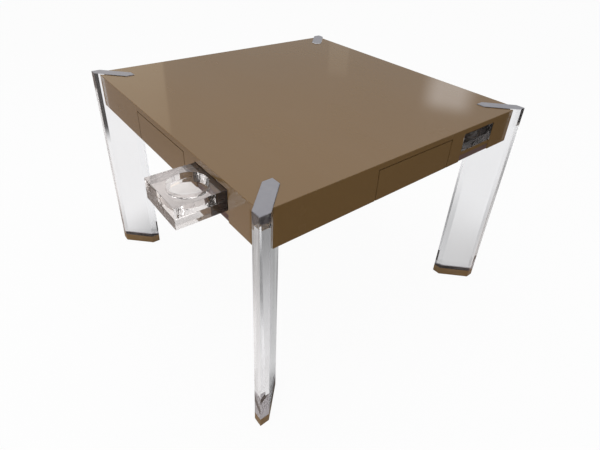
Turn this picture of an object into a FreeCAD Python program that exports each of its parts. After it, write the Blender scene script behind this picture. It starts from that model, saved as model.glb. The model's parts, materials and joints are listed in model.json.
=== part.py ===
import FreeCAD, Part
import os
import Sketcher

# Square games table on four clear diagonal legs.
# +Z is up, the origin is on the floor under the middle of the top, and the front faces -Y.
# Each side has a flush drawer in the middle and a pull-out cup tray at its right-hand end.
# Every size is in millimetres.
SIZES = {
    "table_side": 1050,
    "table_height": 760,
    "top_thick": 18,
    "apron_height": 97,
    "apron_thick": 22,
    "edge_break": 1,
    "leg_width": 161,
    "leg_thick": 42.5,
    "leg_overhang": 22,
    "leg_rise": 2.3,
    "leg_fit": 0.3,
    "leg_polish": 1.2,
    "foot_height": 42,
    "foot_break": 1.5,
    "glide_dia": 26,
    "glide_thick": 5,
    "glide_stand": 2,
    "glide_fit": 0.2,
    "block_arm": 20,
    "block_lift": 10,
    "bolt_dia": 8,
    "bolt_head_size": 13,
    "bolt_head_height": 5.5,
    "bolt_bite": 12,
    "bolt_edge": 14,
    "bolt_fit": 0.2,
    "bolt_head_clear": 1.2,
    "bay_wall": 16,
    "wall_lift": 5,
    "wall_end_gap": 4,
    "tray_back_gap": 3,
    "post_width": 62.5,
    "notch_width": 162,
    "tray_length": 240,
    "tray_side_gap": 1.5,
    "tray_top_gap": 2.5,
    "tray_polish": 1,
    "cup_plate_thick": 29,
    "base_plate_thick": 29.5,
    "plate_gap": 0.2,
    "cup_dia": 101,
    "cup_inset": 73.5,
    "tray_pull": 133,
    "pull_spare": 7,
    "shelf_thick": 15,
    "shelf_setback": 2,
    "shelf_gap": 0.3,
    "bearer_thick": 18,
    "bearer_setback": 3,
    "pin_dia": 8,
    "pin_inset": 22,
    "pin_reach": 12,
    "pin_fit": 0.05,
    "slot_fit": 0.3,
    "drawer_gap": 2,
    "face_thick": 20,
    "finger_bevel": 9,
    "box_side": 14,
    "box_drop": 10,
    "box_lift": 12,
    "box_side_gap": 1.5,
    "box_end_gap": 8,
    "panel_thick": 5,
    "panel_rebate": 6,
    "panel_fit": 0.2,
    "runner_height": 10,
    "runner_bite": 5.5,
    "groove_fit": 0.3,
    "runner_stop": 0.3,
}

SIDES = ("front", "right", "back", "left")
CORNERS = ("back_right", "back_left", "front_left", "front_right")
PULLED_SIDE = "left"
UP = FreeCAD.Vector(0, 0, 1)
QUARTER = 90
FULL_TURN = 360
HEX_SIDES = 6
SAME_PLACE = 1e-6

doc = FreeCAD.newDocument("games_table")
sheet = doc.addObject("Spreadsheet::Sheet", "sizes")
for row, (alias, value) in enumerate(SIZES.items(), start=1):
    sheet.set(f"A{row}", alias)
    sheet.set(f"B{row}", str(value))
    sheet.setAlias(f"B{row}", alias)
doc.recompute()


def size(alias):
    return f"sizes.{alias}"


def number(expression):
    return float(sheet.evalExpression(expression))


# Places along one side, measured from its middle, and depths measured from the table's centre.
half_side = f"({size('table_side')} / 2)"
facet = f"({size('leg_thick')} / sqrt(2))"
leg_reach = f"({size('leg_width')} / sqrt(2))"
leg_inner = f"({half_side} + {size('leg_overhang')} / sqrt(2) - {leg_reach})"
corner_cut = f"({facet} + sqrt(2) * {size('leg_fit')})"
panel_end = f"({half_side} - {corner_cut})"
apron_inner = f"({half_side} - {size('apron_thick')})"
bolt_space = f"({size('bolt_head_height')} + {size('bolt_head_clear')})"
notch_end = f"({leg_inner} - {size('block_arm')} - {bolt_space} - {size('bay_wall')})"
notch_start = f"({notch_end} - {size('notch_width')})"
notch_middle = f"({notch_end} - {size('notch_width')} / 2)"
bay_half = f"({notch_start} - {size('post_width')})"
wall_end = f"({notch_start} + {size('wall_end_gap')})"
tray_inner = f"({half_side} - {size('tray_length')})"
tray_half = f"({size('notch_width')} / 2 - {size('tray_side_gap')})"
tray_travel = f"({size('tray_pull')} + {size('pull_spare')})"
pin_closed = f"({tray_inner} + {size('pin_inset')})"
box_half = f"({bay_half} - {size('box_side_gap')})"
box_inner = f"({bay_half} + {size('box_end_gap')})"
box_outer = f"({half_side} - {size('face_thick')})"

# Heights above the floor.
top_under = f"({size('table_height')} - {size('top_thick')})"
apron_under = f"({top_under} - {size('apron_height')})"
cup_plate_under = f"({top_under} - {size('tray_top_gap')} - {size('cup_plate_thick')})"
base_plate_under = f"({cup_plate_under} - {size('plate_gap')} - {size('base_plate_thick')})"
shelf_under = f"({base_plate_under} - {size('shelf_gap')} - {size('shelf_thick')})"
box_under = f"({apron_under} + {size('box_lift')})"
box_height = f"({size('apron_height')} - {size('box_drop')} - {size('box_lift')})"
runner_under = f"({box_under} + {box_height} / 2 - {size('runner_height')} / 2)"
leg_under = f"({size('glide_stand')} + {size('foot_height')})"
leg_height = f"({size('table_height')} + {size('leg_rise')} - {leg_under})"
block_height = f"({size('apron_height')} - {size('block_lift')})"
wall_height = f"({size('apron_height')} - {size('wall_lift')})"
wall_under = f"({apron_under} + {size('wall_lift')})"

# Depths below the top at which the leg bolts stand, on alternate facets of the leg.
BOLTS_PER_LEG = 3
bolt_pitch = f"(({block_height} - 2 * {size('bolt_edge')}) / {BOLTS_PER_LEG - 1})"
bolt_drops = [
    f"({size('bolt_edge')} + {level} * {bolt_pitch})" for level in range(BOLTS_PER_LEG)
]

parts = {}


def keep(piece, node):
    piece.Label = node
    parts[node] = piece


def turned(x, y, turn):
    return (
        (x, y),
        (f"-({y})", x),
        (f"-({x})", f"-({y})"),
        (y, f"-({x})"),
    )[turn]


# A piece drawn for the front side, or for the back right corner, turns round the table's middle.
def place(piece, turn, x="0", y="0", z="0"):
    east, north = turned(x, y, turn)
    piece.Placement = FreeCAD.Placement(
        FreeCAD.Vector(), FreeCAD.Rotation(UP, QUARTER * turn)
    )
    piece.setExpression("Placement.Base.x", east)
    piece.setExpression("Placement.Base.y", north)
    piece.setExpression("Placement.Base.z", z)


def new_body(name):
    return doc.addObject("PartDesign::Body", name)


def origin_item(body, role):
    return next(item for item in body.Origin.OriginFeatures if item.Role == role)


def new_sketch(body, name, plane):
    sketch = body.newObject("Sketcher::SketchObject", name)
    sketch.AttachmentSupport = (origin_item(body, plane), [""])
    sketch.MapMode = "FlatFace"
    return sketch


def bind(sketch, kind, place_on, expression):
    index = sketch.addConstraint(
        Sketcher.Constraint(kind, *place_on, number(expression))
    )
    sketch.setExpression(f"Constraints[{index}]", expression)


def draw_outline(sketch, points):
    first = sketch.GeometryCount
    corners = [FreeCAD.Vector(number(x), number(y), 0) for x, y in points]
    count = len(corners)
    for step in range(count):
        line = Part.LineSegment(corners[step], corners[(step + 1) % count])
        sketch.addGeometry(line, False)
    for step in range(count):
        following = first + (step + 1) % count
        sketch.addConstraint(
            Sketcher.Constraint("Coincident", first + step, 2, following, 1)
        )
    for step, (x, y) in enumerate(points):
        bind(sketch, "DistanceX", (first + step, 1), x)
        bind(sketch, "DistanceY", (first + step, 1), y)


def draw_rectangle(sketch, low_x, low_y, high_x, high_y):
    draw_outline(
        sketch,
        [(low_x, low_y), (high_x, low_y), (high_x, high_y), (low_x, high_y)],
    )


def draw_circle(sketch, x, y, diameter):
    centre = FreeCAD.Vector(number(x), number(y), 0)
    index = sketch.addGeometry(Part.Circle(centre, UP, number(diameter) / 2), False)
    bind(sketch, "DistanceX", (index, 3), x)
    bind(sketch, "DistanceY", (index, 3), y)
    bind(sketch, "Diameter", (index,), diameter)


def pad(body, name, sketch, length):
    feature = body.newObject("PartDesign::Pad", name)
    feature.Profile = sketch
    feature.setExpression("Length", length)
    sketch.Visibility = False
    doc.recompute()
    return feature


# A pocket that points away from the solid removes nothing, so its volume is compared.
def pocket(body, name, sketch, length=None, reverse=False):
    before = body.Shape.Volume
    feature = body.newObject("PartDesign::Pocket", name)
    feature.Profile = sketch
    feature.Reversed = reverse
    if length is None:
        feature.Type = "ThroughAll"
        feature.Midplane = True
    else:
        feature.setExpression("Length", length)
    doc.recompute()
    if not body.Shape.Volume < before:
        raise RuntimeError(f"{name} removes nothing")
    return feature


def break_edges(body, name, feature, chosen, width):
    edges = [
        f"Edge{index}"
        for index, edge in enumerate(feature.Shape.Edges, start=1)
        if chosen(edge)
    ]
    chamfer = body.newObject("PartDesign::Chamfer", name)
    chamfer.Base = (feature, edges)
    chamfer.setExpression("Size", width)
    doc.recompute()
    return chamfer


def level_at(height):
    def chosen(edge):
        box = edge.BoundBox
        return abs(box.ZMin - height) < SAME_PLACE and abs(box.ZMax - height) < SAME_PLACE

    return chosen


def new_box(name, turn, low, lengths):
    box = doc.addObject("Part::Box", name)
    for side, length in zip(("Length", "Width", "Height"), lengths):
        box.setExpression(side, length)
    place(box, turn, *low)
    return box


def new_cylinder(name, diameter, height):
    cylinder = doc.addObject("Part::Cylinder", name)
    cylinder.setExpression("Radius", f"{diameter} / 2")
    cylinder.setExpression("Height", height)
    return cylinder


def group(node, pieces):
    compound = doc.addObject("Part::Compound", node)
    compound.Links = pieces
    keep(compound, node)


# The leg's section is a long hexagon along the table's diagonal, drawn from its inner tip.
# Both ends come to a right-angled point whose facets are parallel to the table's sides.
# The slot in the top is the same section with some room all round.
def draw_leg_section(sketch, start="0", spare="0"):
    inner = f"({start} - {spare})"
    shoulder = f"({start} + {facet} + (sqrt(2) - 1) * {spare})"
    tip = f"({start} + {leg_reach} + {spare})"
    outer = f"({tip} - {facet} - sqrt(2) * {spare})"
    draw_outline(
        sketch,
        [
            (inner, inner),
            (shoulder, inner),
            (tip, outer),
            (tip, tip),
            (outer, tip),
            (inner, shoulder),
        ],
    )


# The facet planes of a leg and its corner block are the body's own XZ and YZ planes.
def drill_bolt_holes(body, name, depth, reverse, base):
    for step, drop in enumerate(bolt_drops):
        plane = ("XZ_Plane", "YZ_Plane")[step % 2]
        sketch = new_sketch(body, f"{name}_hole_{step}", plane)
        draw_circle(
            sketch,
            f"{facet} / 2",
            f"{base} - {drop}",
            f"{size('bolt_dia')} + 2 * {size('bolt_fit')}",
        )
        pocket(body, f"{name}_drill_{step}", sketch, depth, reverse != (step % 2 == 1))


def make_top():
    body = new_body("table_top_body")
    square = new_sketch(body, "top_square", "XY_Plane")
    draw_rectangle(square, f"-{half_side}", f"-{half_side}", half_side, half_side)
    pad(body, "top_panel", square, size("top_thick"))
    slot = new_sketch(body, "leg_slot", "XY_Plane")
    draw_leg_section(slot, leg_inner, size("leg_fit"))
    cut = pocket(body, "leg_slot_cut", slot)
    corners = body.newObject("PartDesign::PolarPattern", "leg_slots")
    corners.Originals = [cut]
    corners.Axis = (origin_item(body, "Z_Axis"), [""])
    corners.Angle = FULL_TURN
    corners.Occurrences = len(CORNERS)
    body.Tip = corners
    doc.recompute()
    upper = level_at(number(size("top_thick")))
    side_middle = number(half_side)

    def outer_edge(edge):
        middle = edge.CenterOfMass
        on_side = max(abs(middle.x), abs(middle.y)) > side_middle - SAME_PLACE
        return upper(edge) and on_side

    break_edges(body, "top_edge_break", corners, outer_edge, size("edge_break"))
    place(body, 0, z=top_under)
    keep(body, "table_top")


def make_apron(side, turn):
    long_panel = new_body(f"apron_{side}_long_body")
    outline = new_sketch(long_panel, f"apron_{side}_long_outline", "XY_Plane")
    draw_outline(
        outline,
        [
            (f"-{panel_end}", f"-{half_side}"),
            (f"-{bay_half}", f"-{half_side}"),
            (f"-{bay_half}", f"-{apron_inner}"),
            (f"{size('apron_thick')} - {panel_end}", f"-{apron_inner}"),
        ],
    )
    pad(long_panel, f"apron_{side}_long_pad", outline, size("apron_height"))
    place(long_panel, turn, z=apron_under)
    keep(long_panel, f"apron_{side}_long")

    post = new_box(
        f"apron_{side}_post_box",
        turn,
        (bay_half, f"-{half_side}", apron_under),
        (size("post_width"), size("apron_thick"), size("apron_height")),
    )
    keep(post, f"apron_{side}_post")

    short_panel = new_body(f"apron_{side}_short_body")
    outline = new_sketch(short_panel, f"apron_{side}_short_outline", "XY_Plane")
    draw_outline(
        outline,
        [
            (notch_end, f"-{half_side}"),
            (panel_end, f"-{half_side}"),
            (f"{panel_end} - {size('apron_thick')}", f"-{apron_inner}"),
            (notch_end, f"-{apron_inner}"),
        ],
    )
    pad(short_panel, f"apron_{side}_short_pad", outline, size("apron_height"))
    place(short_panel, turn, z=apron_under)
    keep(short_panel, f"apron_{side}_short")


def make_leg(corner, turn):
    body = new_body(f"leg_{corner}_body")
    section = new_sketch(body, f"leg_{corner}_section", "XY_Plane")
    draw_leg_section(section)
    column = pad(body, f"leg_{corner}_column", section, leg_height)
    upper = level_at(number(leg_height))
    break_edges(body, f"leg_{corner}_polish", column, upper, size("leg_polish"))
    under_top = f"{leg_height} - {size('leg_rise')} - {size('top_thick')}"
    drill_bolt_holes(body, f"leg_{corner}", size("bolt_bite"), False, f"({under_top})")
    place(body, turn, leg_inner, leg_inner, leg_under)
    keep(body, f"leg_{corner}")


def make_foot_cap(corner, turn):
    body = new_body(f"foot_cap_{corner}_body")
    section = new_sketch(body, f"foot_cap_{corner}_section", "XY_Plane")
    draw_leg_section(section)
    cap = pad(body, f"foot_cap_{corner}_pad", section, size("foot_height"))
    lower = level_at(0)
    break_edges(body, f"foot_cap_{corner}_break", cap, lower, size("foot_break"))
    seat = new_sketch(body, f"foot_cap_{corner}_seat", "XY_Plane")
    middle = f"{leg_reach} / 2"
    draw_circle(seat, middle, middle, f"{size('glide_dia')} + 2 * {size('glide_fit')}")
    seat_depth = f"{size('glide_thick')} - {size('glide_stand')}"
    pocket(body, f"foot_cap_{corner}_recess", seat, seat_depth, True)
    place(body, turn, leg_inner, leg_inner, size("glide_stand"))
    keep(body, f"foot_cap_{corner}")


def make_glides():
    middle = f"({leg_inner} + {leg_reach} / 2)"
    glides = []
    for turn, corner in enumerate(CORNERS):
        glide = new_cylinder(f"glide_{corner}", size("glide_dia"), size("glide_thick"))
        place(glide, turn, middle, middle)
        glides.append(glide)
    group("floor_glides", glides)


# An angle-shaped block seats on the leg's inner facets and reaches the two aprons beside it.
def make_corner_block(corner, turn):
    body = new_body(f"corner_block_{corner}_body")
    outline = new_sketch(body, f"corner_block_{corner}_outline", "XY_Plane")
    arm = size("block_arm")
    reach = f"{apron_inner} - {leg_inner}"
    draw_outline(
        outline,
        [
            (f"-{arm}", f"-{arm}"),
            (reach, f"-{arm}"),
            (reach, "0"),
            ("0", "0"),
            ("0", reach),
            (f"-{arm}", reach),
        ],
    )
    pad(body, f"corner_block_{corner}_pad", outline, block_height)
    drill_bolt_holes(body, f"corner_block_{corner}", arm, True, block_height)
    place(body, turn, leg_inner, leg_inner, f"{top_under} - {block_height}")
    keep(body, f"corner_block_{corner}")


# A bolt lies along +Y or +X, its head against the corner block and its tip in the leg.
def make_bolt(name, turn, step, drop):
    head = doc.addObject("Part::Prism", f"{name}_head")
    head.Polygon = HEX_SIDES
    head.setExpression("Circumradius", f"{size('bolt_head_size')} / sqrt(3)")
    head.setExpression("Height", size("bolt_head_height"))
    shank = new_cylinder(
        f"{name}_shank",
        size("bolt_dia"),
        f"{size('block_arm')} + {size('bolt_bite')} - {size('bolt_fit')}",
    )
    shank.setExpression("Placement.Base.z", size("bolt_head_height"))
    bolt = doc.addObject("Part::Fuse", name)
    bolt.Base = head
    bolt.Tool = shank
    across = f"({leg_inner} + {facet} / 2)"
    back = f"({leg_inner} - {size('block_arm')} - {size('bolt_head_height')})"
    x, y = ((across, back), (back, across))[step % 2]
    place(bolt, turn, x, y, f"{top_under} - {drop}")
    along = FreeCAD.Vector(*((0, 1, 0), (1, 0, 0))[step % 2])
    lie_down = FreeCAD.Rotation(UP, along)
    bolt.Placement = FreeCAD.Placement(
        bolt.Placement.Base, FreeCAD.Rotation(UP, QUARTER * turn).multiply(lie_down)
    )
    return bolt


def make_bolts():
    bolts = []
    for turn, corner in enumerate(CORNERS):
        for step, drop in enumerate(bolt_drops):
            bolts.append(make_bolt(f"bolt_{corner}_{step}", turn, step, drop))
    group("leg_bolts", bolts)


# Boards under the top part the drawer from the tray and carry both.
def make_bay_boards():
    drawer_walls = []
    dividers = []
    tray_walls = []
    bearers = []
    runners = []
    wall_length = f"{apron_inner} - {wall_end}"
    tray_back = f"({tray_inner} - {size('tray_back_gap')} - {size('bay_wall')})"
    tray_wall_length = f"{apron_inner} - {tray_back}"
    runner_width = f"({size('box_side_gap')} + {size('runner_bite')})"
    runner_outer = f"({box_outer} - {size('runner_stop')})"
    for turn, side in enumerate(SIDES):
        drawer_walls.append(
            new_box(
                f"drawer_wall_{side}",
                turn,
                (f"-{bay_half} - {size('bay_wall')}", f"-{apron_inner}", wall_under),
                (size("bay_wall"), wall_length, wall_height),
            )
        )
        dividers.append(
            new_box(
                f"divider_{side}",
                turn,
                (bay_half, f"-{apron_inner}", wall_under),
                (size("post_width"), wall_length, wall_height),
            )
        )
        tray_walls.append(
            new_box(
                f"tray_wall_{side}",
                turn,
                (notch_end, f"-{apron_inner}", wall_under),
                (size("bay_wall"), tray_wall_length, wall_height),
            )
        )
        tray_walls.append(
            new_box(
                f"tray_back_{side}",
                turn,
                (notch_start, f"-{tray_back} - {size('bay_wall')}", wall_under),
                (size("notch_width"), size("bay_wall"), wall_height),
            )
        )
        bearers.append(
            new_box(
                f"shelf_bearer_{side}",
                turn,
                (notch_start, f"{size('bearer_setback')} - {half_side}", apron_under),
                (size("notch_width"), size("bearer_thick"), f"{shelf_under} - {apron_under}"),
            )
        )
        for hand, low_x in (("left", f"-{bay_half}"), ("right", f"{bay_half} - {runner_width}")):
            runners.append(
                new_box(
                    f"runner_{side}_{hand}",
                    turn,
                    (low_x, f"-{runner_outer}", runner_under),
                    (runner_width, f"{runner_outer} - {wall_end}", size("runner_height")),
                )
            )
    group("drawer_bay_walls", drawer_walls)
    group("bay_dividers", dividers)
    group("tray_bay_walls", tray_walls)
    group("shelf_bearers", bearers)
    group("drawer_runners", runners)


# The stop pin's slot has round ends at the tray's closed and pulled-out places.
def draw_slot(sketch, x, low_y, high_y, width):
    radius = number(width) / 2
    low = FreeCAD.Vector(number(x), number(low_y), 0)
    high = FreeCAD.Vector(number(x), number(high_y), 0)
    across = FreeCAD.Vector(radius, 0, 0)
    along = FreeCAD.Vector(0, radius, 0)
    for curve in (
        Part.LineSegment(low + across, high + across),
        Part.Arc(high + across, high + along, high - across),
        Part.LineSegment(high - across, low - across),
        Part.Arc(low - across, low - along, low + across),
    ):
        sketch.addGeometry(curve, False)
    ends = ((0, 2, 1, 1), (1, 2, 2, 1), (2, 2, 3, 1), (3, 2, 0, 1))
    for end in ends:
        sketch.addConstraint(Sketcher.Constraint("Tangent", *end))
    sketch.addConstraint(Sketcher.Constraint("Equal", 1, 3))
    for arc, y in ((1, high_y), (3, low_y)):
        bind(sketch, "DistanceX", (arc, 3), x)
        bind(sketch, "DistanceY", (arc, 3), y)
    bind(sketch, "Radius", (1,), f"{width} / 2")


def make_tray_shelf(side, turn):
    body = new_body(f"tray_shelf_{side}_body")
    board = new_sketch(body, f"tray_shelf_{side}_board", "XY_Plane")
    outer = f"({half_side} - {size('shelf_setback')})"
    draw_rectangle(board, notch_start, f"-{outer}", notch_end, f"-{tray_inner}")
    pad(body, f"tray_shelf_{side}_pad", board, size("shelf_thick"))
    slot = new_sketch(body, f"tray_shelf_{side}_slot", "XY_Plane")
    draw_slot(
        slot,
        notch_middle,
        f"-{pin_closed} - {tray_travel}",
        f"-{pin_closed}",
        f"({size('pin_dia')} + 2 * {size('slot_fit')})",
    )
    pocket(body, f"tray_shelf_{side}_slot_cut", slot)
    place(body, turn, z=shelf_under)
    keep(body, f"tray_shelf_{side}")


def tray_rest(side):
    return f"-{size('tray_pull')}" if side == PULLED_SIDE else "0"


def make_tray_plate(node, side, turn, thick, under, hole_y, hole_dia):
    body = new_body(f"{node}_body")
    outline = new_sketch(body, f"{node}_outline", "XY_Plane")
    draw_rectangle(
        outline,
        f"{notch_middle} - {tray_half}",
        f"-{half_side}",
        f"{notch_middle} + {tray_half}",
        f"-{tray_inner}",
    )
    draw_circle(outline, notch_middle, hole_y, hole_dia)
    slab = pad(body, f"{node}_slab", outline, thick)
    upper = level_at(number(thick))
    lower = level_at(0)

    def rim(edge):
        return (upper(edge) or lower(edge)) and isinstance(edge.Curve, Part.Line)

    break_edges(body, f"{node}_polish", slab, rim, size("tray_polish"))
    place(body, turn, y=tray_rest(side), z=under)
    keep(body, node)


def make_tray(side, turn):
    make_tray_plate(
        f"tray_{side}_cup_plate",
        side,
        turn,
        size("cup_plate_thick"),
        cup_plate_under,
        f"{size('cup_inset')} - {half_side}",
        size("cup_dia"),
    )
    make_tray_plate(
        f"tray_{side}_base_plate",
        side,
        turn,
        size("base_plate_thick"),
        base_plate_under,
        f"-{pin_closed}",
        f"{size('pin_dia')} + 2 * {size('pin_fit')}",
    )
    pin = new_cylinder(
        f"tray_{side}_pin",
        size("pin_dia"),
        f"{size('base_plate_thick')} + {size('pin_reach')}",
    )
    place(
        pin,
        turn,
        notch_middle,
        f"{tray_rest(side)} - {pin_closed}",
        f"{base_plate_under} - {size('pin_reach')}",
    )
    keep(pin, f"tray_{side}_stop_pin")


# The face is gripped from below, behind a bevel along its lower inner edge.
def make_drawer_face(side, turn):
    body = new_body(f"drawer_{side}_face_body")
    outline = new_sketch(body, f"drawer_{side}_face_outline", "XY_Plane")
    half_width = f"({bay_half} - {size('drawer_gap')})"
    draw_rectangle(outline, f"-{half_width}", f"-{half_side}", half_width, f"-{box_outer}")
    height = f"({size('apron_height')} - {size('drawer_gap')})"
    face = pad(body, f"drawer_{side}_face_pad", outline, height)
    inner = -number(box_outer)

    def lower_inner(edge):
        box = edge.BoundBox
        at_back = abs(box.YMin - inner) < SAME_PLACE and abs(box.YMax - inner) < SAME_PLACE
        return at_back and box.ZMax < SAME_PLACE

    bevel = break_edges(
        body, f"drawer_{side}_finger_bevel", face, lower_inner, size("finger_bevel")
    )
    outer = -number(half_side)

    def front_rim(edge):
        box = edge.BoundBox
        return abs(box.YMin - outer) < SAME_PLACE and abs(box.YMax - outer) < SAME_PLACE

    break_edges(body, f"drawer_{side}_face_break", bevel, front_rim, size("edge_break"))
    place(body, turn, z=apron_under)
    keep(body, f"drawer_{side}_face")


# Four glued boards with a rebate below for the bottom panel and a runner groove along each side.
def make_drawer_box(side, turn):
    body = new_body(f"drawer_{side}_box_body")
    thick = size("box_side")
    inside = f"({box_half} - {thick})"
    ring = new_sketch(body, f"drawer_{side}_box_ring", "XY_Plane")
    draw_rectangle(ring, f"-{box_half}", f"-{box_outer}", box_half, f"-{box_inner}")
    draw_rectangle(
        ring, f"-{inside}", f"{thick} - {box_outer}", inside, f"-{box_inner} - {thick}"
    )
    pad(body, f"drawer_{side}_box_pad", ring, box_height)

    rebate = new_sketch(body, f"drawer_{side}_box_rebate", "XY_Plane")
    lap = f"({thick} - {size('panel_rebate')})"
    draw_rectangle(
        rebate,
        f"{lap} - {box_half}",
        f"{lap} - {box_outer}",
        f"{box_half} - {lap}",
        f"-{box_inner} - {lap}",
    )
    pocket(body, f"drawer_{side}_box_rebate_cut", rebate, size("panel_thick"), True)

    grooves = new_sketch(body, f"drawer_{side}_box_grooves", "XZ_Plane")
    half_groove = f"({size('runner_height')} / 2 + {size('groove_fit')})"
    low = f"{box_height} / 2 - {half_groove}"
    high = f"{box_height} / 2 + {half_groove}"
    floor = f"({box_half} - {size('runner_bite')} - {size('groove_fit')})"
    draw_rectangle(grooves, floor, low, box_half, high)
    draw_rectangle(grooves, f"-{box_half}", low, f"-{floor}", high)
    pocket(body, f"drawer_{side}_box_groove_cut", grooves)
    place(body, turn, z=box_under)
    keep(body, f"drawer_{side}_box")


def make_drawer_bottom(side, turn):
    edge = f"({size('box_side')} - {size('panel_rebate')} + {size('panel_fit')})"
    panel = new_box(
        f"drawer_{side}_panel",
        turn,
        (f"{edge} - {box_half}", f"{edge} - {box_outer}", box_under),
        (
            f"2 * ({box_half} - {edge})",
            f"{box_outer} - {box_inner} - 2 * {edge}",
            size("panel_thick"),
        ),
    )
    keep(panel, f"drawer_{side}_bottom")


make_top()
for turn, corner in enumerate(CORNERS):
    make_leg(corner, turn)
    make_foot_cap(corner, turn)
    make_corner_block(corner, turn)
make_glides()
make_bolts()
make_bay_boards()
for turn, side in enumerate(SIDES):
    make_apron(side, turn)
    make_tray_shelf(side, turn)
    make_tray(side, turn)
    make_drawer_face(side, turn)
    make_drawer_box(side, turn)
    make_drawer_bottom(side, turn)

doc.recompute()
failed = [item.Name for item in doc.Objects if {"Invalid", "Error"} & set(item.State)]
if failed:
    raise RuntimeError(f"failed objects: {failed}")
for node, piece in parts.items():
    if piece.Shape.isNull() or not piece.Shape.isValid():
        raise RuntimeError(f"{node} has no valid shape")

os.makedirs("parts", exist_ok=True)
for node, piece in parts.items():
    piece.Shape.exportStep(f"parts/{node}.step")
print(f"{len(parts)} parts written")
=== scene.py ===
import json
import math
import bmesh
import bpy
from mathutils import Matrix, Vector


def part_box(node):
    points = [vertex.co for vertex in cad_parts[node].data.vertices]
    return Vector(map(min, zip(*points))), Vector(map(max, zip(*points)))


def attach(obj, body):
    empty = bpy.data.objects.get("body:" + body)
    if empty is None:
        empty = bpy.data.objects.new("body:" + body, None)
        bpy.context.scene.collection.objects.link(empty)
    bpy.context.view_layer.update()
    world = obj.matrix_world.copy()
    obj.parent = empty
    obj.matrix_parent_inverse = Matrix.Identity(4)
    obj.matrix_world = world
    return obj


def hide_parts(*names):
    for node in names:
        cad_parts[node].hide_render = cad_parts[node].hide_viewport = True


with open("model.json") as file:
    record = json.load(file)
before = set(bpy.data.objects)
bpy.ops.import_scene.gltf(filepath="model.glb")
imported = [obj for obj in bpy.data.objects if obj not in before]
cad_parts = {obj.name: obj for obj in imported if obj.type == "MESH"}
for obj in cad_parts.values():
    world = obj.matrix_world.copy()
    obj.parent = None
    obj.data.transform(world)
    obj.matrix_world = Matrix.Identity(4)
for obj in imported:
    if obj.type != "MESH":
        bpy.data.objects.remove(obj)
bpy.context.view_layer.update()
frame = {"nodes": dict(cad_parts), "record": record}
sides = ("front", "right", "back", "left")
corners = {"back_right": (1, 1), "back_left": (-1, 1), "front_left": (-1, -1), "front_right": (1, -1)}
slotOf = {row["node"]: row["material_slot"] for row in frame["record"]["subparts"]}


class Wire:
    # an output socket that takes part in Python expressions
    def __init__(self, sheet, socket):
        self.sheet = sheet
        self.socket = socket

    def maths(self, operation, first, second):
        return self.sheet.node("ShaderNodeMath", {"operation": operation}, {0: first, 1: second})

    def __add__(self, other):
        return self.maths("ADD", self, other)

    def __radd__(self, other):
        return self.maths("ADD", other, self)

    def __sub__(self, other):
        return self.maths("SUBTRACT", self, other)

    def __rsub__(self, other):
        return self.maths("SUBTRACT", other, self)

    def __mul__(self, other):
        return self.maths("MULTIPLY", self, other)

    def __rmul__(self, other):
        return self.maths("MULTIPLY", other, self)

    def __gt__(self, other):
        return self.maths("GREATER_THAN", self, other)

    def __lt__(self, other):
        return self.maths("LESS_THAN", self, other)

    def __abs__(self):
        return self.maths("ABSOLUTE", self, 0.0)

    def larger(self, other):
        return self.maths("MAXIMUM", self, other)

    def smaller(self, other):
        return self.maths("MINIMUM", self, other)


class NodeSheet:
    # a node tree that is filled from Python
    def __init__(self, tree):
        self.tree = tree
        tree.nodes.clear()

    def node(self, kind, settings=None, sockets=None, out=0):
        added = self.tree.nodes.new(kind)
        for name, value in (settings or {}).items():
            if name == "stops":
                fillRamp(added.color_ramp, value)
            else:
                setattr(added, name, value)
        for key, value in (sockets or {}).items():
            if isinstance(value, Wire):
                self.tree.links.new(value.socket, added.inputs[key])
            else:
                added.inputs[key].default_value = value
        return Wire(self, added.outputs[out]) if len(added.outputs) else None

    def part(self, vector, axis):
        return self.node("ShaderNodeSeparateXYZ", {}, {"Vector": vector}, axis)

    def noise(self, place, scale, detail=2.0, rough=0.5):
        sockets = {"Vector": place, "Scale": scale, "Detail": detail, "Roughness": rough}
        return self.node("ShaderNodeTexNoise", {}, sockets, "Fac")

    def stretch(self, place, scale, turn=(0, 0, 0)):
        sockets = {"Vector": place, "Rotation": turn, "Scale": scale}
        return self.node("ShaderNodeMapping", {}, sockets)

    def blend(self, factor, first, second):
        # 6, 7 and 2 are the Mix node's colour sockets
        return self.node("ShaderNodeMix", {"data_type": "RGBA"}, {0: factor, 6: first, 7: second}, 2)

    def ramp(self, factor, stops):
        return self.node("ShaderNodeValToRGB", {"stops": stops}, {"Fac": factor})

    def between(self, value, low, high):
        # 0 below low, 1 above high, smooth between them
        sockets = {"Value": value, "From Min": low, "From Max": high}
        return self.node("ShaderNodeMapRange", {"interpolation_type": "SMOOTHSTEP"}, sockets)

    def bump(self, height, depth, strength=1.0):
        return self.node("ShaderNodeBump", {}, {"Height": height, "Distance": depth, "Strength": strength})

    def gain(self, tone, amount, base):
        # a tone times an amount, on top of a base
        sockets = {0: tone, 1: amount, 2: base}
        return self.node("ShaderNodeVectorMath", {"operation": "MULTIPLY_ADD"}, sockets)

    def principled(self, sockets):
        return self.node("ShaderNodeBsdfPrincipled", {}, sockets)

    def mixShader(self, factor, first, second):
        return self.node("ShaderNodeMixShader", {}, {0: factor, 1: first, 2: second})

    def surface(self, shader):
        self.node("ShaderNodeOutputMaterial", {}, {"Surface": shader})


def fillRamp(ramp, stops):
    while len(ramp.elements) < len(stops):
        ramp.elements.new(1.0)
    for element, (position, colour) in zip(ramp.elements, stops):
        element.position = position
        element.color = paint(colour)


def paint(colour):
    return (*colour, 1.0)


def spread(share, ends):
    # from the first end to the second
    low, high = ends
    return low + share * (high - low)


def startFinish(name):
    material = bpy.data.materials.new(name)
    material.use_nodes = True
    sheet = NodeSheet(material.node_tree)
    return material, sheet, sheet.node("ShaderNodeTexCoord", out="Object")


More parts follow.
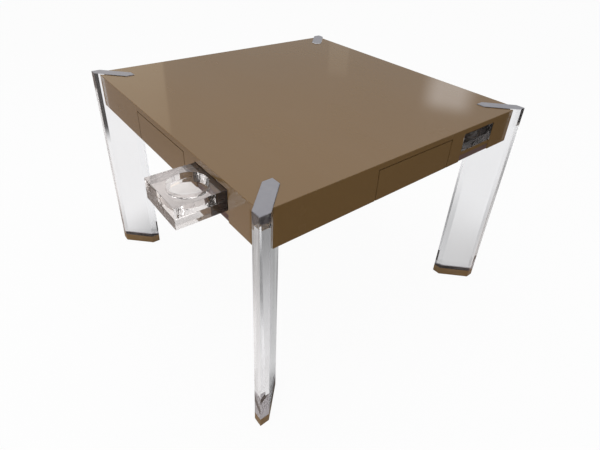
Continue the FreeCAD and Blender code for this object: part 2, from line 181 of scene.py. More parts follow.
def closeFinish(sheet, sockets):
    sheet.surface(sheet.principled(sockets))


plainWhite = paint((1.0, 1.0, 1.0))
lacquerLook = {
    "tone": (0.205, 0.118, 0.044),
    "deepTone": (0.190, 0.108, 0.039),
    "mottle": 2.4,              # cloudiness of the pigment, per metre
    "peel": 180.0,              # ripple left by the spray gun, per metre
    "peelDepth": 0.0000025,
    "wipe": 7.0,                # wipe marks, per metre
    "wipeRun": (1.0, 0.35, 1.0),
    "roughness": (0.20, 0.32),
    "shine": 0.05,
    "coat": (0.92, 0.72),       # thinner where it was wiped
    "coatRoughness": 0.045,
    "endFrom": (0.476, 0.484),  # painted shade: beside the legs the apron ends lose their coat, so they mirror less and read darker
    "endTo": 0.742,             # up to the underside of the top
    "litCapTone": (0.265, 0.165, 0.078),
    "capTo": 0.05,              # the foot caps, below this height, get a paler copy of the lacquer: painted light for the floor's bounce on them
}


def makeLacquer():
    look = lacquerLook
    material, sheet, place = startFinish("taupeLacquer")
    cloud = sheet.noise(place, look["mottle"], detail=3.0)
    wipe = sheet.noise(sheet.stretch(place, look["wipeRun"]), look["wipe"], detail=4.0, rough=0.6)
    ripple = sheet.noise(place, look["peel"], detail=1.0)
    east, north, height = (sheet.part(place, axis) for axis in "XYZ")
    colour = sheet.blend(cloud, paint(look["deepTone"]), paint(look["tone"]))
    # painted light: the foot caps are paler than the rest of the lacquer
    colour = sheet.blend(height < look["capTo"], colour, paint(look["litCapTone"]))
    nearer = abs(east).smaller(abs(north))
    # painted shade: no coat on the apron ends beside the legs, so they read darker
    shadedEnds = sheet.between(nearer, *look["endFrom"]) * (height < look["endTo"])
    closeFinish(sheet, {
        "Base Color": colour,
        "Roughness": spread(wipe, look["roughness"]),
        "Specular IOR Level": look["shine"],
        "Coat Weight": spread(wipe, look["coat"]) * (1.0 - shadedEnds),
        "Coat Roughness": look["coatRoughness"],
        "Normal": sheet.bump(ripple, look["peelDepth"]),
    })
    return material


trayAcrylic = {
    "clear": (0.81, 0.775, 0.762),
    "hazy": (0.77, 0.735, 0.722),
    "cloud": 5.0,
    "smear": 14.0,
    "smearFrom": (0.45, 0.75),
    "roughness": (0.0, 0.03),
    "bend": 1.49,
    "clearness": 0.985,         # the rest is scattered
}
legAcrylic = {
    **trayAcrylic,
    "clear": (0.885, 0.885, 0.895),
    "hazy": (0.855, 0.855, 0.87),
    "level": 0.8,               # a face that looks up or down more than this is an end
    "upright": 0.5,             # one that does so less than this is a side
    "sanding": 60.0,
    "sandingRun": (1.0, 1.0, 0.1),
    "satinTone": (0.25, 0.245, 0.27),
    "satinPale": (0.31, 0.305, 0.325),
    "satinFrom": 0.7612,        # the upper ends lie above this height and are satin
    "satinRoughness": 0.38,
    "lowerTone": (0.46, 0.44, 0.465),   # so are the lower ends, paler
    "shadeSheetShine": 0.1,
    "shadeSheetRoughness": (0.5, 0.7),
    # painted shade: the grey of the inner sides by the corner block, for the unlit corner seen through the
    # leg
    "blockShadeTone": (0.30, 0.272, 0.275),
    "blockFrom": 0.672,         # painted shade on the inner sides by the corner block, above this height
    "blockHalf": 0.4585,
    # painted shade: a near-black strip on the lower end, for the shaded top of the foot cap seen through
    # the leg
    "footShadeTone": (0.020, 0.009, 0.007),
    "footTo": 0.0345,           # the lower end, on the foot cap, lies below this height
    "stripFrom": -0.012,         # the strip of painted shade lies under one broad side, measured across the foot
    "stripTo": 0.756,            # and short of the outer point, measured along the leg's diagonal
    "thinStrip": 0.024,          # how much narrower and shorter it is on the front left leg
    "shortStrip": 0.028,
}


def clearShader(sheet, place, look):
    cloud = sheet.noise(place, look["cloud"])
    smear = sheet.noise(place, look["smear"], detail=4.0, rough=0.6)
    clear = sheet.principled({
        "Base Color": sheet.blend(cloud, paint(look["hazy"]), paint(look["clear"])),
        "Roughness": spread(sheet.between(smear, *look["smearFrom"]), look["roughness"]),
        "IOR": look["bend"],
        "Transmission Weight": look["clearness"],
    })
    # lamps light what lies behind the acrylic
    shadow = sheet.node("ShaderNodeLightPath", out="Is Shadow Ray")
    passing = sheet.node("ShaderNodeBsdfTransparent", {}, {"Color": paint(look["clear"])})
    return sheet.mixShader(shadow, clear, passing)


def makeTrayAcrylic():
    material, sheet, place = startFinish("trayAcrylic")
    sheet.surface(clearShader(sheet, place, trayAcrylic))
    return material


def makeLegAcrylic():
    look = legAcrylic
    material, sheet, place = startFinish("legAcrylic")
    sanding = sheet.stretch(place, look["sandingRun"], (0, 0, math.radians(45)))
    sanding = sheet.noise(sanding, look["sanding"], detail=3.0)
    east, north, height = (sheet.part(place, axis) for axis in "XYZ")
    facing = abs(sheet.part(sheet.node("ShaderNodeTexCoord", out="Normal"), "Z"))
    isEnd = facing > look["level"]
    atTop = height > look["satinFrom"]
    atFoot = height < look["footTo"]
    sanded = sheet.blend(sanding, paint(look["satinTone"]), paint(look["satinPale"]))
    satin = sheet.principled({
        "Base Color": sheet.blend(atTop, paint(look["lowerTone"]), sanded),
        "Roughness": look["satinRoughness"],
    })
    # painted shade: an opaque grey sheet on the inner sides, where the corner block is, for the unlit
    # corner seen through the acrylic
    innerSide = (abs(east).larger(abs(north)) < look["blockHalf"]) * (facing < look["upright"])
    blockShade = innerSide * (height > look["blockFrom"]) * (height < look["satinFrom"])
    # and a near-black strip of painted shade on the lower end, for the shaded top of the foot cap seen
    # through the leg
    slant = math.sqrt(0.5)
    mainDiagonal = east * north > 0.0
    across = (mainDiagonal * (east - north) - (1.0 - mainDiagonal) * (east + north)) * slant
    along = (abs(east) + abs(north)) * slant
    frontLeft = (east < 0.0) * (north < 0.0)
    underSide = across > look["stripFrom"] + frontLeft * look["thinStrip"]
    short = along < look["stripTo"] - frontLeft * look["shortStrip"]
    footStripShade = atFoot * underSide * short * isEnd
    # one opaque sheet of painted shade serves both places
    shadeSheet = sheet.principled({
        "Base Color": sheet.blend(footStripShade, paint(look["blockShadeTone"]), paint(look["footShadeTone"])),
        "Roughness": spread(sanding, look["shadeSheetRoughness"]),
        "Specular IOR Level": look["shadeSheetShine"],
    })
    clearOrSatin = sheet.mixShader((atTop + atFoot) * isEnd, clearShader(sheet, place, look), satin)
    sheet.surface(sheet.mixShader(blockShade.larger(footStripShade), clearOrSatin, shadeSheet))
    return material


# values of boardRun on boards along x and along y; it is 0 on other pieces
runX, runY = 1.0, 2.0


def grainPlace(sheet, place, look):
    # boards made here say which way they run; on others the grain follows the way a face looks
    facing = sheet.node("ShaderNodeTexCoord", out="Normal")
    run = sheet.node("ShaderNodeAttribute", {"attribute_name": "boardRun"}, {}, "Fac")
    looksAlongX = abs(sheet.part(facing, "X")) > look["sideFrom"]
    alongY = (run > (runX + runY) / 2) + (run < runX / 2) * looksAlongX
    first = sheet.stretch(place, (look["stretch"], 1.0, 1.0))
    second = sheet.stretch(place, (1.0, look["stretch"], 1.0))
    # 4, 5 and 1 are the Mix node's vector sockets
    return sheet.node("ShaderNodeMix", {"data_type": "VECTOR"}, {0: alongY, 4: first, 5: second}, 1)


def makeWood(name, look):
    material, sheet, place = startFinish(name)
    grain = grainPlace(sheet, place, look)
    bands = sheet.noise(grain, look["bands"], detail=3.0, rough=0.55)
    pores = sheet.noise(grain, look["pores"], detail=5.0, rough=0.7)
    endGrain = sheet.node("ShaderNodeAttribute", {"attribute_name": "endGrain"}, {}, "Fac")
    figure = spread(look["poreShare"], (bands, pores)) * (1.0 - endGrain * look["endShade"])
    closeFinish(sheet, {
        "Base Color": sheet.ramp(figure, look["stops"]),
        "Roughness": spread(pores, look["roughness"]),
        "Specular IOR Level": look["shine"],
        "Normal": sheet.bump(pores, look["poreDepth"], look["relief"]),
    })
    return material


woodLook = {
    "endShade": 0.32,
    "poreShare": 0.35,    # of the figure, and the rest is bands
    "relief": 0.6,
    "sideFrom": 0.5,      # a face that looks along x more than this has its grain along y
}
hardwoodLook = {
    **woodLook,
    "stretch": 0.07,
    "bands": 42.0,
    "pores": 260.0,
    "stops": ((0.25, (0.30, 0.185, 0.095)), (0.5, (0.47, 0.32, 0.185)), (0.75, (0.58, 0.42, 0.26))),
    "roughness": (0.35, 0.6),
    "shine": 0.4,
    "poreDepth": 0.0002,
}
plywoodLook = {
    **woodLook,
    "stretch": 0.12,
    "bands": 22.0,
    "pores": 210.0,
    "stops": ((0.25, (0.50, 0.37, 0.225)), (0.5, (0.62, 0.48, 0.32)), (0.75, (0.70, 0.57, 0.40))),
    "roughness": (0.45, 0.65),
    "shine": 0.3,
    "poreDepth": 0.0001,
}
stainedLook = {
    **woodLook,
    "stretch": 0.06,
    "bands": 35.0,
    "pores": 240.0,
    "stops": ((0.25, (0.105, 0.061, 0.051)), (0.5, (0.140, 0.083, 0.070)), (0.75, (0.175, 0.105, 0.088))),
    "roughness": (0.4, 0.6),
    "shine": 0.12,
    "poreDepth": 0.0001,
}
zincLook = {
    "bright": (0.66, 0.66, 0.67),
    "dull": (0.50, 0.50, 0.49),
    "spangle": 160.0,
    "roughness": (0.28, 0.48),
}


def makeZinc():
    look = zincLook
    material, sheet, place = startFinish("zincPlate")
    spangle = sheet.noise(place, look["spangle"], detail=3.0, rough=0.6)
    closeFinish(sheet, {
        "Base Color": sheet.blend(spangle, paint(look["dull"]), paint(look["bright"])),
        "Metallic": 1.0,
        "Roughness": spread(spangle, look["roughness"]),
    })
    return material


feltLook = {
    "dark": (0.10, 0.088, 0.076),
    "pale": (0.24, 0.215, 0.19),
    "fibre": 900.0,
    "fibreDepth": 0.0004,
    "roughness": (0.9, 1.0),
    "shine": 0.1,
    "sheen": 0.3,
}


def makeFelt():
    look = feltLook
    material, sheet, place = startFinish("pressedFelt")
    fibre = sheet.noise(place, look["fibre"], detail=6.0, rough=0.75)
    closeFinish(sheet, {
        "Base Color": sheet.blend(fibre, paint(look["dark"]), paint(look["pale"])),
        "Roughness": spread(fibre, look["roughness"]),
        "Specular IOR Level": look["shine"],
        "Sheen Weight": look["sheen"],
        "Normal": sheet.bump(fibre, look["fibreDepth"]),
    })
    return material


finishes = {
    "lacquer": makeLacquer(),
    "clear_acrylic": makeLegAcrylic(),
    "hardwood": makeWood("oiledHardwood", hardwoodLook),
    "plywood": makeWood("birchPlywood", plywoodLook),
    "stained_board": makeWood("stainedBoard", stainedLook),
    "bolt_steel": makeZinc(),
    "felt": makeFelt(),
}
for nodeName, nodeObject in frame["nodes"].items():
    for materialSlot in nodeObject.material_slots:
        materialSlot.material = finishes[slotOf[nodeName]]
trayFinish = makeTrayAcrylic()
print("finishes:", len(finishes) + 1)


def addObject(name, data):
    added = bpy.data.objects.new(name, data)
    bpy.context.scene.collection.objects.link(added)
    return added


def newPiece(name, mesh, body, slot, *nodes, finish=None):
    piece = addObject(name, mesh)
    mesh.materials.append(finish or finishes[slot])
    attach(piece, body)
    if nodes:
        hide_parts(*nodes)


def closeMesh(form, name, rounded=None):
    # flat faces stay flat, or what is seen through the acrylic would swim
    bmesh.ops.recalc_face_normals(form, faces=form.faces)
    for face in form.faces:
        face.smooth = bool(rounded and rounded(face))
    mesh = bpy.data.meshes.new(name)
    form.to_mesh(mesh)
    form.free()
    return mesh


def bevelSharp(form, width, segments, angle=math.radians(35)):
    sharp = [edge for edge in form.edges if edge.calc_face_angle(0.0) > angle]
    bmesh.ops.bevel(form, geom=sharp, offset=width, segments=segments, profile=0.5, affect="EDGES")


def joinRings(form, one, other):
    faces = []
    for step in range(len(one)):
        after = (step + 1) % len(one)
        faces.append(form.faces.new((one[step], one[after], other[after], other[step])))
    return faces


def prism(outline, low, high):
    form = bmesh.new()
    rings = [[form.verts.new((x, y, z)) for x, y in outline] for z in (low, high)]
    for ring in rings:
        form.faces.new(ring)
    joinRings(form, *rings)
    bmesh.ops.recalc_face_normals(form, faces=form.faces)
    return form


legShape = {
    "thick": 0.0425,      # across the two broad faces
    "polish": 0.0009,     # width of the polished rim at the top
    "air": 0.00025,       # between the leg and the wood round it
    "segments": 2,
    "seam": 0.0335,       # height at which the leg meets its foot cap
    "capEdge": 0.0006,
}


def legOutline(low, high, signs, air):
    facet = legShape["thick"] / math.sqrt(2)
    reach = high.x - low.x - air
    shoulder = facet - air * (math.sqrt(2) - 1)
    outer = reach - facet + air * math.sqrt(2)
    outline = (
        (air, air), (shoulder, air), (reach, outer),
        (reach, reach), (outer, reach), (air, shoulder),
    )
    innerX = low.x if signs[0] > 0 else high.x
    innerY = low.y if signs[1] > 0 else high.y
    return [(innerX + signs[0] * x, innerY + signs[1] * y) for x, y in outline]


def makeLeg(corner, signs):
    node = f"leg_{corner}"
    low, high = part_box(node)
    air = legShape["air"]
    form = prism(legOutline(low, high, signs, air), legShape["seam"] + air, high.z)
    rim = [edge for edge in form.edges if min(point.co.z for point in edge.verts) > high.z - air]
    width, segments = legShape["polish"], legShape["segments"]
    bmesh.ops.bevel(form, geom=rim, offset=width, segments=segments, affect="EDGES")
    newPiece(f"clear_leg_{corner}", closeMesh(form, node), "table_frame", "clear_acrylic", node)


def makeFootCap(corner, signs):
    node = f"foot_cap_{corner}"
    low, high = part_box(node)
    form = prism(legOutline(low, high, signs, 0.0), low.z, legShape["seam"])
    bevelSharp(form, legShape["capEdge"], legShape["segments"])
    newPiece(f"lacquered_{node}", closeMesh(form, node), "table_frame", "lacquer", node)


def turned(side, x, y):
    # from the front side to another, a quarter at a time
    for _ in range(sides.index(side)):
        x, y = -y, x
    return x, y


def sweep(form, side, section, run, start, stop):
    # a section run along x or y of the front side, then turned to its own side; its two ends come first
    rings = []
    for reach in (start, stop):
        points = [(reach, across, z) if run == "x" else (across, reach, z) for across, z in section]
        rings.append([form.verts.new((*turned(side, x, y), z)) for x, y, z in points])
    return [form.faces.new(ring) for ring in rings] + joinRings(form, *rings)


faceShape = {
    "inset": 0.0010,      # a little more gap than the solid has, so that it shows
    "grip": 0.009,        # bevel for the fingers along the lower inner edge
    "edge": 0.0003,
    "segments": 2,
}


def makeDrawerFace(side):
    node = f"drawer_{side}_face"
    low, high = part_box("drawer_front_face")
    inset, grip = faceShape["inset"], faceShape["grip"]
    section = (
        (low.y, low.z), (low.y, high.z - inset), (high.y, high.z - inset),
        (high.y, low.z + grip), (high.y - grip, low.z),
    )
    form = bmesh.new()
    sweep(form, side, section, "x", low.x + inset, high.x - inset)
    bmesh.ops.recalc_face_normals(form, faces=form.faces)
    bevelSharp(form, faceShape["edge"], faceShape["segments"])
    newPiece(f"lacquered_{node}", closeMesh(form, node), f"drawer_{side}", "lacquer", node)


for side in sides:
    makeDrawerFace(side)
for corner, signs in corners.items():
    makeLeg(corner, signs)
    makeFootCap(corner, signs)
print("drawer faces:", len(sides), "legs:", len(corners), "foot caps:", len(corners))

boxShape = {
    "side": 0.014,        # thickness of the boards
    "lap": 0.008,         # wood left outside the rebate of the bottom
    "bottom": 0.005,
    "groove": 0.0053,     # half the height of the runner's groove
    "grooveDepth": 0.0058,
    "fingers": 5,         # teeth of a corner joint, those of the front and back boards first
    "edge": 0.0004,
}


def addBar(form, side, section, run, start, stop):
    # a board whose faces say which way it runs and which of them are end grain
    runs = form.faces.layers.float["boardRun"]
    ends = form.faces.layers.float["endGrain"]
    alongX = (run == "x") == (sides.index(side) % 2 == 0)
    faces = sweep(form, side, section, run, start, stop)
    for face in faces:
        face[runs] = runX if alongX else runY
    for face in faces[:2]:
        face[ends] = 1.0


def block(first, last, low, high):
    return ((first, low), (last, low), (last, high), (first, high))


def makeDrawerBox(side):
    node = f"drawer_{side}_box"
    low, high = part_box("drawer_front_box")
    shape = boxShape
    half, thick, lap = high.x, shape["side"], shape["lap"]
    inside, floor = half - thick, low.z + shape["bottom"]
    middle = (low.z + high.z) / 2
    under, over = middle - shape["groove"], middle + shape["groove"]
    grooved = half - shape["grooveDepth"]
    tooth = (high.z - low.z) / shape["fingers"]
    form = bmesh.new()
    form.faces.layers.float.new("boardRun")
    form.faces.layers.float.new("endGrain")
    # each end: outer face, way to the inside
    ends = ((low.y, 1), (high.y, -1))
    for hand in (-1, 1):
        section = (
            (half - lap, low.z), (half, low.z), (half, under), (grooved, under), (grooved, over),
            (half, over), (half, high.z), (inside, high.z), (inside, floor), (half - lap, floor),
        )
        section = [(hand * across, z) for across, z in section]
        addBar(form, side, section, "y", low.y + thick, high.y - thick)
    for outer, way in ends:
        inner, rebate = outer + way * thick, outer + way * lap
        section = (
            (outer, low.z), (rebate, low.z), (rebate, floor),
            (inner, floor), (inner, high.z), (outer, high.z),
        )
        addBar(form, side, section, "x", -inside, inside)
        for hand in (-1, 1):
            near, far, cut = hand * inside, hand * half, hand * (half - lap)
            for step in range(shape["fingers"]):
                start, stop = low.z + step * tooth, low.z + (step + 1) * tooth
                if step % 2:
                    addBar(form, side, block(near, far, start, stop), "y", outer, inner)
                    continue
                deep = hand * grooved if start < middle < stop else far
                start = max(start, floor)
                addBar(form, side, block(outer, inner, start, stop), "x", near, deep)
            addBar(form, side, block(outer, inner, low.z, floor), "x", cut, far)
            addBar(form, side, block(outer, rebate, low.z, floor), "x", near, cut)
    bmesh.ops.recalc_face_normals(form, faces=form.faces)
    bevelSharp(form, shape["edge"], segments=1)
    newPiece(f"jointed_{node}", closeMesh(form, node), f"drawer_{side}", "hardwood", node)


for side in sides:
    makeDrawerBox(side)
print("drawer boxes:", len(sides))

trayShape = {
    "wellRadius": 0.0505,
    "wellInset": 0.0735,      # from the outer end to the middle of the well
    "pinRadius": 0.00405,
    "pinInset": 0.022,        # from the inner end to the middle of the pin
    "polish": 0.0008,
    "segments": 2,
    "steps": 28,              # points on each quarter of a hole
    "level": 0.95,            # a face that looks up or down more than this stays flat
}


def holedPlate(low, high, middle, radius, steps):
    # each point of the hole has its own point on the rim, the four corners among them
    rimCorners = ((high.x, high.y), (low.x, high.y), (low.x, low.y), (high.x, low.y))
    angles = [math.atan2(y - middle[1], x - middle[0]) for x, y in rimCorners]
    hole = []
    rim = []
    tiny = 1e-9
    for start in range(len(angles)):
        first, last = angles[start], angles[(start + 1) % len(angles)]
        last += math.tau if last < first else 0.0
        for step in range(steps):
            angle = first + (last - first) * step / steps
            dx, dy = math.cos(angle), math.sin(angle)
            gapX = (high.x if dx > 0 else low.x) - middle[0]
            gapY = (high.y if dy > 0 else low.y) - middle[1]
            reach = min(gap / way for gap, way in ((gapX, dx), (gapY, dy)) if abs(way) > tiny)
            hole.append((middle[0] + radius * dx, middle[1] + radius * dy))
            rim.append((middle[0] + reach * dx, middle[1] + reach * dy))
    form = bmesh.new()
    rings = [
        [form.verts.new((x, y, z)) for x, y in loop]
        for loop, z in ((hole, low.z), (rim, low.z), (rim, high.z), (hole, high.z))
    ]
    for one, other in zip(rings, rings[1:] + rings[:1]):
        joinRings(form, one, other)
    bmesh.ops.recalc_face_normals(form, faces=form.faces)
    return form


def makeTrayPlate(side, plate, inset, fromOuter, radius):
    node = f"tray_{side}_{plate}"
    low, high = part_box(node)
    out = Vector(turned(side, 0, -1))
    centre = Vector(((low.x + high.x) / 2, (low.y + high.y) / 2))
    half = abs(out.x) * (high.x - low.x) / 2 + abs(out.y) * (high.y - low.y) / 2
    middle = centre + out * ((half - inset) if fromOuter else (inset - half))
    form = holedPlate(low, high, middle, radius, trayShape["steps"])
    bevelSharp(form, trayShape["polish"], trayShape["segments"])

    def onHole(face):
        apart = (face.calc_center_median().xy - middle).length
        return apart < radius + trayShape["polish"] and abs(face.normal.z) < trayShape["level"]

    mesh = closeMesh(form, node, onHole)
    newPiece(f"clear_{node}", mesh, f"tray_{side}", "clear_acrylic", node, finish=trayFinish)


for side in sides:
    makeTrayPlate(side, "cup_plate", trayShape["wellInset"], True, trayShape["wellRadius"])
    makeTrayPlate(side, "base_plate", trayShape["pinInset"], False, trayShape["pinRadius"])
print("tray plates:", 2 * len(sides))

# inputs of the screws' node tree
screwShape = {
    "Head Radius": 0.0036,
    "Head Height": 0.0016,
    "Cross Width": 0.0008,
    "Cross Depth": 0.0009,
    "Seed": 7,
}
screwForm = {
    "corners": 20,
    "topShare": 0.72,     # of the head's radius
    "crossShare": 1.15,   # length of the cross, as a share of the radius
}
wallUnder, bearerUnder, blockUnder = (
    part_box(node)[0].z for node in ("drawer_bay_walls", "shelf_bearers", "corner_block_front_left")
)
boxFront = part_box("drawer_front_box")[0].y + boxShape["side"]
bayRow = (-0.470, -0.365, -0.260)
# seats at the front side: x, y and z in metres
frameScrews = (
    *((x, y, wallUnder) for x in (-0.1675, 0.1908) for y in bayRow),
    *((0.392, y, wallUnder) for y in (-0.480, -0.300)),
    *((x, -0.274, wallUnder) for x in (0.250, 0.356)),
    *((x, -0.513, bearerUnder) for x in (0.245, 0.361)),
    (-0.465, -0.4167, blockUnder),
    (-0.4167, -0.465, blockUnder),
)
drawerScrews = tuple((x, boxFront, z) for x in (-0.105, 0.105) for z in (0.678, 0.714))


def makeScrewTree():
    tree = bpy.data.node_groups.new("panHeadScrews", "GeometryNodeTree")
    kinds = {"Geometry": "Geometry", "Seed": "Int", "Metal": "Material"}
    for name in ("Geometry", *screwShape, "Metal"):
        kind = "NodeSocket" + kinds.get(name, "Float")
        tree.interface.new_socket(name, in_out="INPUT", socket_type=kind)
    tree.interface.new_socket("Geometry", in_out="OUTPUT", socket_type="NodeSocketGeometry")
    sheet = NodeSheet(tree)
    places, radius, height, width, depth, seed, metal = (
        sheet.node("NodeGroupInput", out=name) for name in ("Geometry", *screwShape, "Metal")
    )
    head = sheet.node("GeometryNodeMeshCone", {}, {
        "Vertices": screwForm["corners"],
        "Radius Top": radius * screwForm["topShare"],
        "Radius Bottom": radius,
        "Depth": height,
    })

    def bar(long, wide):
        size = sheet.node("ShaderNodeCombineXYZ", {}, {"X": long, "Y": wide, "Z": depth * 2.0})
        lift = sheet.node("ShaderNodeCombineXYZ", {}, {"Z": height})
        cube = sheet.node("GeometryNodeMeshCube", {}, {"Size": size})
        return sheet.node("GeometryNodeTransform", {}, {"Geometry": cube, "Translation": lift})

    long = radius * screwForm["crossShare"]
    for size in ((long, width), (width, long)):
        cut = {0: head, 1: bar(*size)}
        head = sheet.node("GeometryNodeMeshBoolean", {"operation": "DIFFERENCE"}, cut)
    vectors = {"data_type": "FLOAT_VECTOR"}
    facing = sheet.node("GeometryNodeInputNamedAttribute", vectors, {"Name": "facing"})
    aligned = sheet.node("FunctionNodeAlignRotationToVector", {"axis": "Z"}, {"Vector": facing})
    # 2, 3 and 8 are the random node's float limits and seed
    limits = {2: 0.0, 3: math.tau, 8: seed}
    twist = sheet.node("FunctionNodeRandomValue", {"data_type": "FLOAT"}, limits, 1)
    spin = sheet.node("FunctionNodeAxisAngleToRotation", {}, {"Axis": (0.0, 0.0, 1.0), "Angle": twist})
    turns = {"Rotation": aligned, "Rotate By": spin}
    turn = sheet.node("FunctionNodeRotateRotation", {"rotation_space": "LOCAL"}, turns)
    placing = {"Points": places, "Instance": head, "Rotation": turn}
    heads = sheet.node("GeometryNodeInstanceOnPoints", {}, placing)
    plain = sheet.node("GeometryNodeRealizeInstances", {}, {"Geometry": heads})
    made = sheet.node("GeometryNodeSetMaterial", {}, {"Geometry": plain, "Material": metal})
    sheet.node("NodeGroupOutput", {}, {"Geometry": made})
    return tree


screwTree = makeScrewTree()


def makeScrews(name, body, places, facings):
    mesh = bpy.data.meshes.new(name)
    mesh.from_pydata(places, [], [])
    facing = mesh.attributes.new("facing", "FLOAT_VECTOR", "POINT")
    facing.data.foreach_set("vector", [part for way in facings for part in way])
    seat = addObject(name + "_seats", mesh)
    modifier = seat.modifiers.new("screws", "NODES")
    modifier.node_group = screwTree
    values = {**screwShape, "Metal": finishes["bolt_steel"]}
    for item in screwTree.interface.items_tree:
        if item.in_out == "INPUT" and item.name in values:
            modifier[item.identifier] = values[item.name]
    finished = seat.evaluated_get(bpy.context.evaluated_depsgraph_get())
    made = bpy.data.meshes.new_from_object(finished)
    bpy.data.objects.remove(seat)
    made.materials.clear()
    newPiece(name, made, body, "bolt_steel")
    return len(places)


frameSeats = [(*turned(side, x, y), z) for side in sides for x, y, z in frameScrews]
downward = (0.0, 0.0, -1.0)
screwCount = makeScrews("frame_screws", "table_frame", frameSeats, [downward] * len(frameSeats))
for side in sides:
    seats = [(*turned(side, x, y), z) for x, y, z in drawerScrews]
    inward = (*turned(side, 0.0, 1.0), 0.0)
    screwCount += makeScrews(f"drawer_{side}_screws", f"drawer_{side}", seats, [inward] * len(seats))
print("screws:", screwCount)

cameraView = {
    "aim": (0.0, 0.0, 0.760),   # middle of the top
    "turn": -40.80,             # degrees from the front, towards the left
    "rise": 31.456,
    "distance": 1.575,
    "roll": 3.374,
    "aside": 0.0357,
    "down": -0.3082,
    "lens": 26.957,
    "sensor": 36.0,
    "shift": (-0.0107, -0.0786),
}


def makeCamera():
    view = cameraView
    turn, rise, roll = (math.radians(view[key]) for key in ("turn", "rise", "roll"))
    back = Vector((math.sin(turn) * math.cos(rise), -math.cos(turn) * math.cos(rise), math.sin(rise)))
    right = (-back).cross(Vector((0, 0, 1))).normalized()
    up = right.cross(-back)
    place = Vector(view["aim"]) + back * view["distance"] + right * view["aside"] + up * view["down"]
    tiltedRight = right * math.cos(roll) + up * math.sin(roll)
    tiltedUp = up * math.cos(roll) - right * math.sin(roll)
    data = bpy.data.cameras.new("photoView")
    data.sensor_width = view["sensor"]
    data.lens = view["lens"]
    data.shift_x, data.shift_y = view["shift"]
    camera = addObject("photoView", data)
    axes = Matrix((tiltedRight, tiltedUp, back)).transposed()
    camera.matrix_world = Matrix.Translation(place) @ axes.to_4x4()
    bpy.context.scene.camera = camera


makeCamera()
print("camera: set to the photograph's view")

studio = {
    "floorHalf": 15.0,
    "floorTone": (0.86, 0.86, 0.86),
    "whiteness": 0.95,          # share of plain white in the floor as it is seen
    "ambient": 0.5,
    "ambientTone": (0.97, 0.98, 1.0),
    "wall": 0.36,               # mirrored room, from its walls to its ceiling
    "ceiling": 1.05,
    "ceilingFrom": (0.25, 0.7),  # from the one to the other, as the height of a direction
    "wallThrough": 0.9,         # the same walls seen through the acrylic
    "frontDark": (-1.15, -0.5),  # mirrored floor, unlit in front
    "backDark": (0.3, 1.5),     # and dimmer behind
    "mirrorBright": 0.68,
    "mirrorBack": 0.4,
    "mirrorDark": 0.04,
    "mirrorTone": (1.0, 0.82, 0.72),
    "toneFrom": (0.62, 0.8),    # the mirrored floor has this tone away from the table
    # light turns many times inside the clear legs
    "bounces": {"max_bounces": 24, "glossy_bounces": 20, "transmission_bounces": 20},
}
# the table's shadow on the mirrored floor, and that of each foot
mirrorShade = {"middle": (0.0, 0.0), "reach": (0.4, 0.75), "depth": 0.5}
footShade = {"middle": (0.46, 0.46), "reach": (0.03, 0.12), "depth": 0.9}
# shade on the floor as it is seen through the acrylic: full within the first reach, none past the second
shadows = {
    "wholeTable": {"middle": (0.25, -0.02), "reach": (-0.1, 0.92), "depth": 0.72},
    "leftDrawer": {"middle": (-0.30, 0.28), "reach": (0.12, 0.50), "depth": 0.62},
    "leftSide": {"middle": (-0.72, 0.00), "reach": (0.08, 0.32), "depth": 0.65},
    "leftFloor": {"middle": (-1.07, -0.01), "reach": (-0.1, 0.5), "depth": 0.55},
    "underTray": {"middle": (-0.45, 0.06), "reach": (0.08, 0.23), "depth": 0.75},
    "frontRight": {"middle": (0.40, -1.40), "reach": (0.0, 0.85), "depth": 0.8},
    "farRight": {"middle": (0.80, -0.90), "reach": (0.0, 0.65), "depth": 0.85},
    "farCorner": {"middle": (0.80, 1.75), "reach": (0.55, 0.84), "depth": 0.95},
}
# bright places of the room that the lacquer mirrors, in degrees
windows = {
    "sideWindow": {
        "azimuth": (68.3, 95.0), "rise": (0.0, 24.0), "soft": (0.4, 5.0), "glow": (0.35, 0.29, 0.2),
    },
    "farWindow": {
        "azimuth": (44.9, 47.1), "rise": (0.0, 17.5), "soft": (0.3, 1.5), "glow": (0.13, 0.11, 0.08),
    },
    "lamp": {
        "azimuth": (30.4, 32.6), "rise": (18.2, 19.6), "soft": (2.8, 2.2), "glow": (1.05, 1.05, 1.05),
    },
}
lamps = {
    "overheadSoftbox": {"place": (-0.1, 0.2, 3.4), "size": 2.4, "power": 39.0, "mirrored": False},
    "leftSoftbox": {"place": (-3.2, -0.4, 1.9), "size": 2.0, "power": 18.0, "mirrored": True},
}


def rayKinds(sheet):
    kinds = ("Is Camera Ray", "Is Glossy Ray", "Is Transmission Ray")
    return [sheet.node("ShaderNodeLightPath", out=kind) for kind in kinds]


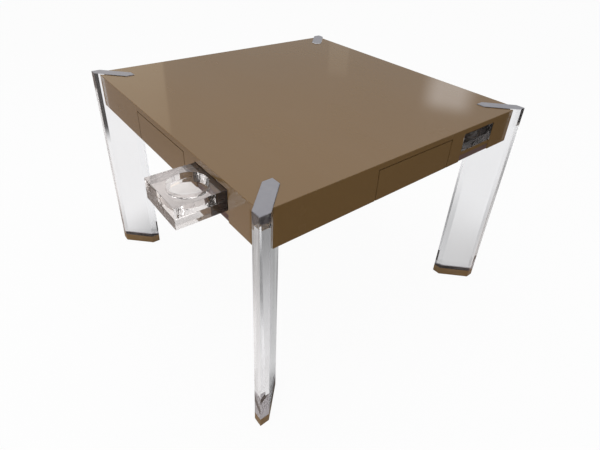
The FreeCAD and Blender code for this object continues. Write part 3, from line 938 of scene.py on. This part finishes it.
def makeFloor():
    half = studio["floorHalf"]
    outline = ((-half, -half), (half, -half), (half, half), (-half, half))
    form = bmesh.new()
    form.faces.new([form.verts.new((x, y, 0.0)) for x, y in outline])
    mesh = bpy.data.meshes.new("studioFloor")
    form.to_mesh(mesh)
    form.free()
    floor = addObject("studioFloor", mesh)
    material, sheet, place = startFinish("palePaper")
    camera, glossy, through = rayKinds(sheet)
    north = sheet.part(place, "Y")
    folded = sheet.node("ShaderNodeVectorMath", {"operation": "ABSOLUTE"}, {0: place})

    def away(point, middle, fromTo):
        ends = {0: point, 1: (*middle, 0.0)}
        apart = sheet.node("ShaderNodeVectorMath", {"operation": "DISTANCE"}, ends, "Value")
        return sheet.between(apart, *fromTo)

    def outside(shadow, point=place):
        return 1.0 - (1.0 - away(point, shadow["middle"], shadow["reach"])) * shadow["depth"]

    seenThrough = 1.0
    for shadow in shadows.values():
        seenThrough = seenThrough * outside(shadow)
    lit = sheet.between(north, *studio["frontDark"])
    dim = sheet.between(north, *studio["backDark"])
    bright = spread(dim, (studio["mirrorBright"], studio["mirrorBack"]))
    mirror = spread(lit, (studio["mirrorDark"], bright))
    mirror = mirror * outside(mirrorShade) * outside(footShade, folded)
    toned = away(place, mirrorShade["middle"], studio["toneFrom"])
    tone = sheet.blend(toned, plainWhite, paint(studio["mirrorTone"]))
    level = sheet.gain(tone, (1.0 - through) * mirror, through * seenThrough)
    paper = sheet.node("ShaderNodeBsdfDiffuse", {}, {"Color": paint(studio["floorTone"])})
    white = sheet.node("ShaderNodeEmission", {}, {"Color": plainWhite})
    seen = sheet.node("ShaderNodeEmission", {}, {"Color": level})
    mixed = sheet.mixShader(camera * studio["whiteness"], paper, white)
    sheet.surface(sheet.mixShader(glossy.larger(through), mixed, seen))
    mesh.materials.append(material)


def makeWorld():
    world = bpy.data.worlds.new("studioRoom")
    bpy.context.scene.world = world
    world.use_nodes = True
    sheet = NodeSheet(world.node_tree)
    camera, glossy, through = rayKinds(sheet)
    direction = sheet.node("ShaderNodeTexCoord", out="Generated")
    east, north, height = (sheet.part(direction, axis) for axis in "XYZ")
    wall = spread(through, (studio["wall"], studio["wallThrough"]))
    level = spread(sheet.between(height, *studio["ceilingFrom"]), (wall, studio["ceiling"]))
    azimuth = north.maths("ARCTAN2", north, east) * math.degrees(1.0)
    rise = height.maths("ARCSINE", height, 0.0) * math.degrees(1.0)

    def within(angle, fromTo, soft):
        first, last = fromTo
        return sheet.between(angle, first - soft, first) * (1.0 - sheet.between(angle, last, last + soft))

    for window in windows.values():
        side, upper = window["soft"]
        seen = within(azimuth, window["azimuth"], side) * within(rise, window["rise"], upper)
        level = sheet.gain(window["glow"], glossy * seen, level)
    dayTone = {"Color": paint(studio["ambientTone"]), "Strength": studio["ambient"]}
    ambient = sheet.node("ShaderNodeBackground", {}, dayTone)
    room = sheet.node("ShaderNodeBackground", {}, {"Color": level})
    white = sheet.node("ShaderNodeBackground", {}, {"Color": plainWhite})
    mixed = sheet.mixShader(glossy.larger(through), ambient, room)
    mixed = sheet.mixShader(camera, mixed, white)
    sheet.node("ShaderNodeOutputWorld", {}, {"Surface": mixed})


def makeLamp(name, lamp):
    data = bpy.data.lights.new(name, "AREA")
    data.size = lamp["size"]
    data.energy = lamp["power"]
    light = addObject(name, data)
    place = Vector(lamp["place"])
    aim = Vector(cameraView["aim"]) - place
    axes = aim.to_track_quat("-Z", "Y").to_matrix()
    light.matrix_world = Matrix.Translation(place) @ axes.to_4x4()
    light.visible_camera = False
    light.visible_glossy = lamp["mirrored"]


makeFloor()
makeWorld()
for name, lamp in lamps.items():
    makeLamp(name, lamp)
bpy.context.scene.view_settings.view_transform = "Standard"
for limit, count in studio["bounces"].items():
    setattr(bpy.context.scene.cycles, limit, count)
print("studio: floor, room and", len(lamps), "lamps")
